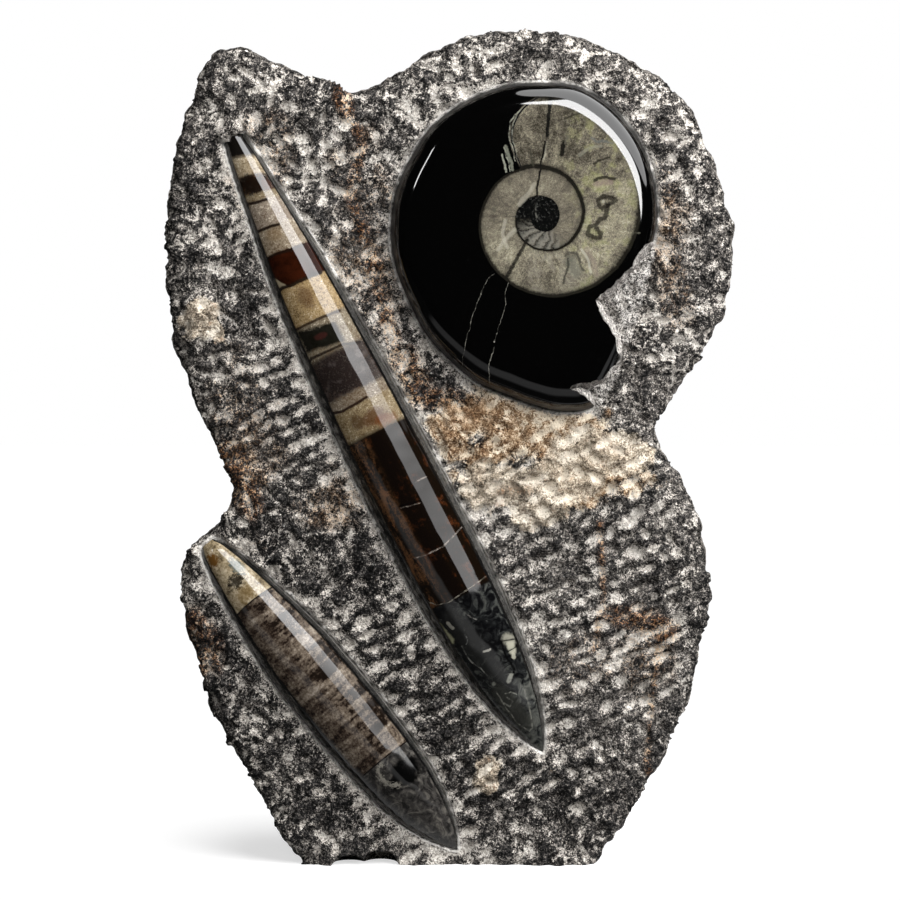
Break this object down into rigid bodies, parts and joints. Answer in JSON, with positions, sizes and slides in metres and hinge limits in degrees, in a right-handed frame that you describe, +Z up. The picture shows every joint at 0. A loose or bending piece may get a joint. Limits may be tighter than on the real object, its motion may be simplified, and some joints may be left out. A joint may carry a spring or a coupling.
{
  "type": "orthoceras fossil plate",
  "caption": "Free-standing hewn limestone plate with raised, polished straight-shelled and coiled fossils, standing on a flat cut foot.",
  "frame": {"origin": "centre of the whole plate's box, at the level of the flat foot", "axes": "+Z up, +X to the right as seen from the carved face, which looks along -Y"},
  "size_m": [0.2722, 0.072, 0.3995],
  "materials": {
    "hewn_limestone": "hand-chiselled, matt, dark grey with pale bruises",
    "polished_shell": "polished, dark brown with cream and rust chambers",
    "polished_shell_grey": "polished, mottled grey-brown",
    "polished_black_stone": "polished black with a greenish-cream shell"
  },
  "bodies": {
    "root": {"stone_slab": "hewn_limestone", "long_orthoceras": "polished_shell", "short_orthoceras": "polished_shell_grey", "goniatite": "polished_black_stone"}
  },
  "joints": []
}
